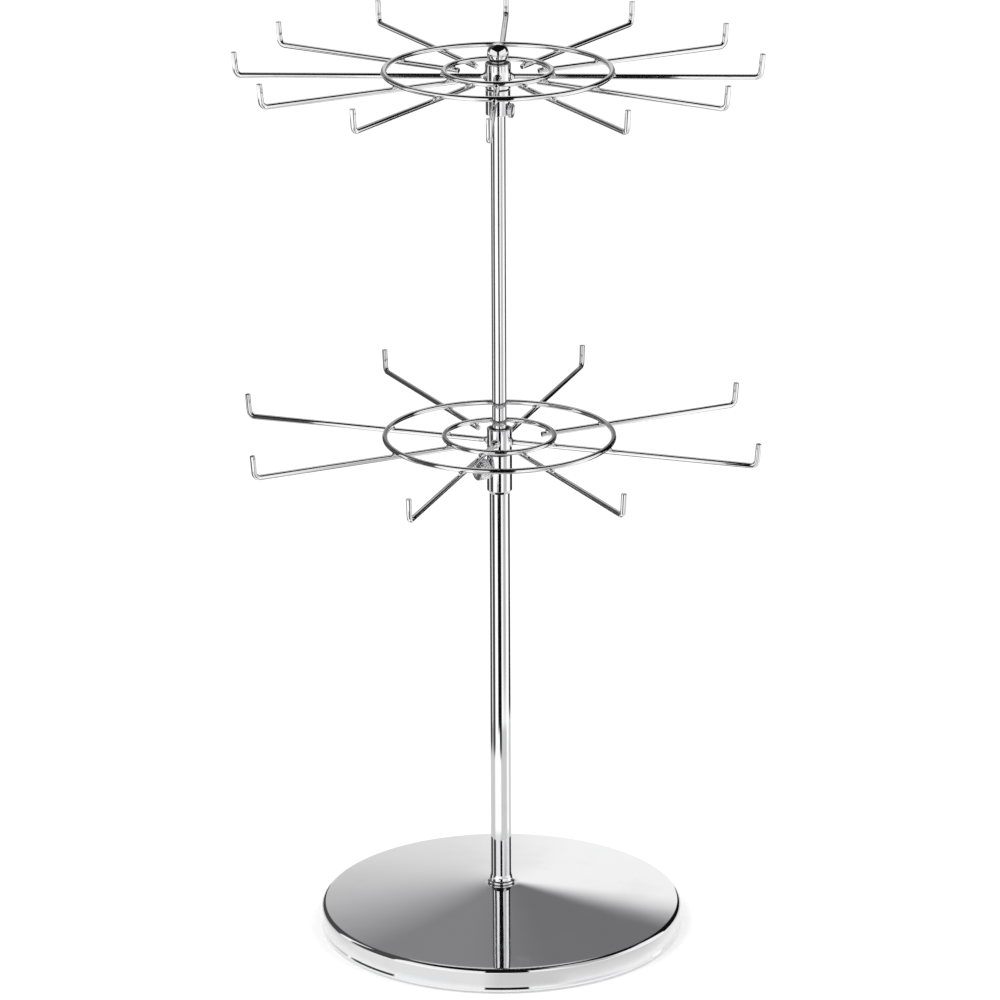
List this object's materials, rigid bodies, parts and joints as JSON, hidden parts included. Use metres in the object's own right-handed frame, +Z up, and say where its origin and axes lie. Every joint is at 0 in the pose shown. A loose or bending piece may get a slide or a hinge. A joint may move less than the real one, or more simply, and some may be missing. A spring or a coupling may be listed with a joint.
{
  "type": "rotating jewellery stand",
  "caption": "Countertop jewellery stand: a weighted round base and a telescopic pole carry tiered wheels of wire hooks that spin freely, topped by a ball.",
  "frame": {"origin": "on the counter, under the pole's axis", "axes": "+Z up the pole; +X to the right and +Y away from someone facing the stand"},
  "size_m": [0.2826, 0.2826, 0.5021],
  "materials": {
    "base_chrome": "mirror chrome plate",
    "pole_chrome": "mirror chrome plate",
    "turned_chrome": "turned and plated",
    "knurled_chrome": "knurled and plated",
    "wire_chrome": "plated wire",
    "weight_steel": "bare plate",
    "zinc_steel": "zinc plated",
    "foot_rubber": "matt",
    "nylon": "moulded nylon"
  },
  "bodies": {
    "root": {"base_shell": "base_chrome", "weight_plate": "weight_steel", "base_spacer": "zinc_steel", "base_bolt": "zinc_steel", "base_washer": "zinc_steel", "rubber_feet": "foot_rubber", "foot_insert": "zinc_steel", "pole_flange": "pole_chrome", "lower_tube": "pole_chrome", "lock_collar": "turned_chrome", "lower_thrust_washer": "nylon"},
    "lock_screw": {"lock_thumbscrew": "knurled_chrome"},
    "lower_tier": {"lower_hub": "turned_chrome", "lower_bush": "nylon", "lower_outer_ring": "wire_chrome", "lower_inner_ring": "wire_chrome", "lower_hook_01": "wire_chrome", "lower_hook_02": "wire_chrome", "lower_hook_03": "wire_chrome", "lower_hook_04": "wire_chrome", "lower_hook_05": "wire_chrome", "lower_hook_06": "wire_chrome", "lower_hook_07": "wire_chrome", "lower_hook_08": "wire_chrome"},
    "mast": {"mast_tube": "pole_chrome", "mast_guide_plug": "nylon", "finial_insert": "zinc_steel", "ball_finial": "turned_chrome"},
    "upper_collar": {"upper_collar": "turned_chrome", "upper_thrust_washer": "nylon"},
    "upper_screw": {"upper_thumbscrew": "knurled_chrome"},
    "upper_tier": {"upper_hub": "turned_chrome", "upper_bush": "nylon", "upper_outer_ring": "wire_chrome", "upper_inner_ring": "wire_chrome", "upper_hook_01": "wire_chrome", "upper_hook_02": "wire_chrome", "upper_hook_03": "wire_chrome", "upper_hook_04": "wire_chrome", "upper_hook_05": "wire_chrome", "upper_hook_06": "wire_chrome", "upper_hook_07": "wire_chrome", "upper_hook_08": "wire_chrome", "upper_hook_09": "wire_chrome", "upper_hook_10": "wire_chrome", "upper_hook_11": "wire_chrome", "upper_hook_12": "wire_chrome"}
  },
  "joints": [
    {"name": "lock_screw_turn", "type": "hinge", "parent": "root", "child": "lock_screw", "pos_m": [0, 0, 0.267], "axis": [-0.866, -0.5, 0], "range_deg": [0, 360]},
    {"name": "lower_tier_spin", "type": "hinge", "parent": "root", "child": "lower_tier", "pos_m": [0, 0, 0.2815], "axis": [0, 0, 1], "continuous": true},
    {"name": "mast_slide", "type": "slide", "parent": "root", "child": "mast", "axis": [0, 0, 1], "range_m": [-0.13, 0.02]},
    {"name": "upper_collar_slide", "type": "slide", "parent": "mast", "child": "upper_collar", "axis": [0, 0, 1], "range_m": [-0.03, 0]},
    {"name": "upper_screw_turn", "type": "hinge", "parent": "upper_collar", "child": "upper_screw", "pos_m": [0, 0, 0.4656], "axis": [0.9511, -0.309, 0], "range_deg": [0, 360]},
    {"name": "upper_tier_spin", "type": "hinge", "parent": "upper_collar", "child": "upper_tier", "pos_m": [0, 0, 0.4839], "axis": [0, 0, 1], "continuous": true}
  ]
}
